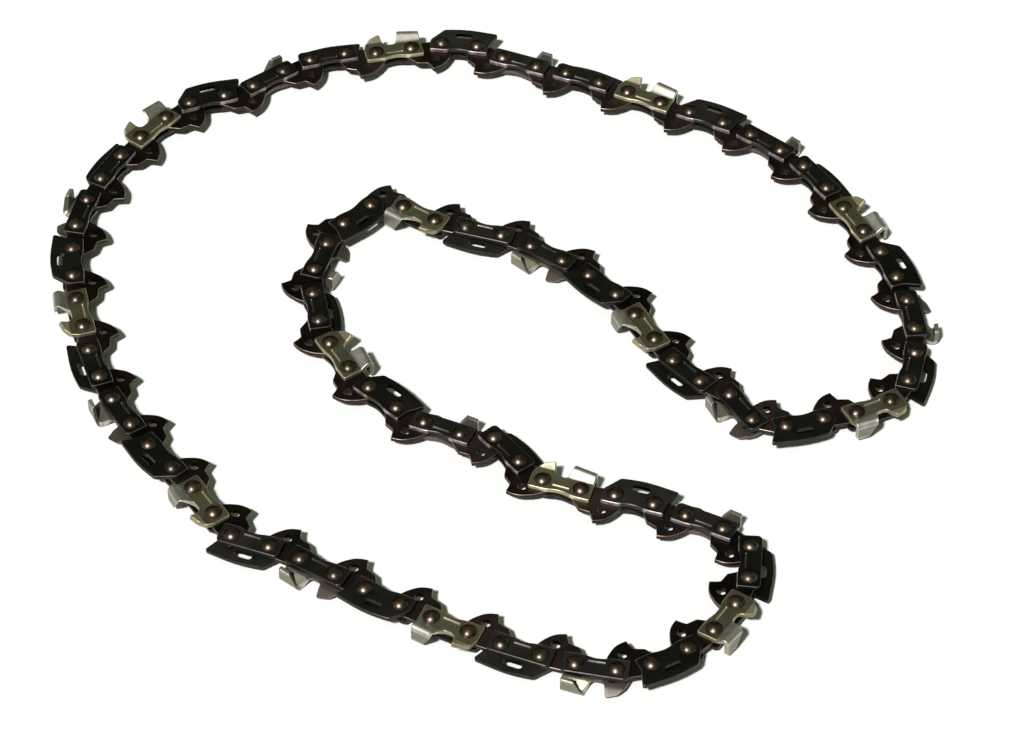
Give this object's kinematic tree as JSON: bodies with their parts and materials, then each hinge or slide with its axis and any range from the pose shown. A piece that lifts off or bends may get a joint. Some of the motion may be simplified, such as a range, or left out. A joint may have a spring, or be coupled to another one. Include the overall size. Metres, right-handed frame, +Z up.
{
  "type": "saw chain loop",
  "caption": "Closed loop of riveted saw chain with hooked drive links, guard straps and left and right cutters, lying on its side.",
  "frame": {"origin": "middle of the loop's box, on the ground it lies on", "axes": "+Z up, along the rivets; +X to the right and +Y away from the viewer in the picture"},
  "size_m": [0.233, 0.2322, 0.0066],
  "materials": {
    "chain_steel": "oiled black-brown hardened steel with thin worn edges",
    "cutter_steel": "bronze-tinted steel, bright hard-chromed on the tooth"
  },
  "bodies": {
    "back_run": {"drive_links_back_run": "chain_steel", "tie_straps_back_run": "chain_steel", "guard_straps_back_run": "chain_steel", "left_cutter_10": "cutter_steel", "right_cutter_10": "cutter_steel", "left_cutter_11": "cutter_steel", "right_cutter_11": "cutter_steel", "left_cutter_12": "cutter_steel", "right_cutter_12": "cutter_steel", "left_cutter_13": "cutter_steel", "right_cutter_13": "cutter_steel", "left_cutter_01": "cutter_steel", "right_cutter_01": "cutter_steel", "left_cutter_02": "cutter_steel"},
    "upper_outer_run": {"drive_links_upper_outer_run": "chain_steel", "tie_straps_upper_outer_run": "chain_steel", "guard_straps_upper_outer_run": "chain_steel", "right_cutter_02": "cutter_steel"},
    "upper_tip": {"drive_links_upper_tip": "chain_steel", "tie_straps_upper_tip": "chain_steel", "guard_straps_upper_tip": "chain_steel", "left_cutter_03": "cutter_steel", "right_cutter_03": "cutter_steel", "left_cutter_04": "cutter_steel", "right_cutter_04": "cutter_steel"},
    "upper_inner_run": {"drive_links_upper_inner_run": "chain_steel", "tie_straps_upper_inner_run": "chain_steel", "guard_straps_upper_inner_run": "chain_steel", "left_cutter_05": "cutter_steel"},
    "inner_bend": {"drive_links_inner_bend": "chain_steel", "tie_straps_inner_bend": "chain_steel", "guard_straps_inner_bend": "chain_steel", "right_cutter_05": "cutter_steel", "left_cutter_06": "cutter_steel", "right_cutter_06": "cutter_steel", "left_cutter_07": "cutter_steel", "right_cutter_07": "cutter_steel"},
    "lower_inner_run": {"drive_links_lower_inner_run": "chain_steel", "tie_straps_lower_inner_run": "chain_steel", "guard_straps_lower_inner_run": "chain_steel", "left_cutter_08": "cutter_steel"},
    "lower_tip": {"drive_links_lower_tip": "chain_steel", "tie_straps_lower_tip": "chain_steel", "guard_straps_lower_tip": "chain_steel", "right_cutter_08": "cutter_steel", "left_cutter_09": "cutter_steel"},
    "lower_outer_run": {"drive_links_lower_outer_run": "chain_steel", "tie_straps_lower_outer_run": "chain_steel", "guard_straps_lower_outer_run": "chain_steel", "right_cutter_09": "cutter_steel"}
  },
  "joints": [
    {"name": "upper_arm_swing", "type": "hinge", "parent": "back_run", "child": "upper_outer_run", "pos_m": [0.07097, 0.07442, 0.0033], "axis": [0, 0, 1], "range_deg": [-15, 15]},
    {"name": "upper_outer_rivet", "type": "hinge", "parent": "upper_outer_run", "child": "upper_tip", "pos_m": [0.09455, 0.04613, 0.0033], "axis": [0, 0, 1], "range_deg": [-15.1, 15.1]},
    {"name": "upper_tip_rivet", "type": "hinge", "parent": "upper_tip", "child": "upper_inner_run", "pos_m": [0.04273, -0.00202, 0.0033], "axis": [0, 0, 1], "range_deg": [-15.1, 15.1]},
    {"name": "upper_inner_rivet", "type": "hinge", "parent": "upper_inner_run", "child": "inner_bend", "pos_m": [0.01915, 0.02627, 0.0033], "axis": [0, 0, 1], "range_deg": [-15.1, 15.1]},
    {"name": "lower_arm_swing", "type": "hinge", "parent": "inner_bend", "child": "lower_inner_run", "pos_m": [0.01358, -0.05032, 0.0033], "axis": [0, 0, 1], "range_deg": [-15, 15]},
    {"name": "lower_inner_rivet", "type": "hinge", "parent": "lower_inner_run", "child": "lower_tip", "pos_m": [0.049, -0.0615, 0.0033], "axis": [0, 0, 1], "range_deg": [-15.1, 15.1]},
    {"name": "lower_tip_rivet", "type": "hinge", "parent": "lower_tip", "child": "lower_outer_run", "pos_m": [0.03086, -0.10984, 0.0033], "axis": [0, 0, 1], "range_deg": [-15.1, 15.1]}
  ],
  "couplings": [
    {"joint": "upper_outer_rivet", "follows": "upper_arm_swing", "ratio": -1},
    {"joint": "upper_tip_rivet", "follows": "upper_arm_swing", "ratio": 1},
    {"joint": "upper_inner_rivet", "follows": "upper_arm_swing", "ratio": -1},
    {"joint": "lower_inner_rivet", "follows": "lower_arm_swing", "ratio": -1},
    {"joint": "lower_tip_rivet", "follows": "lower_arm_swing", "ratio": 1}
  ]
}
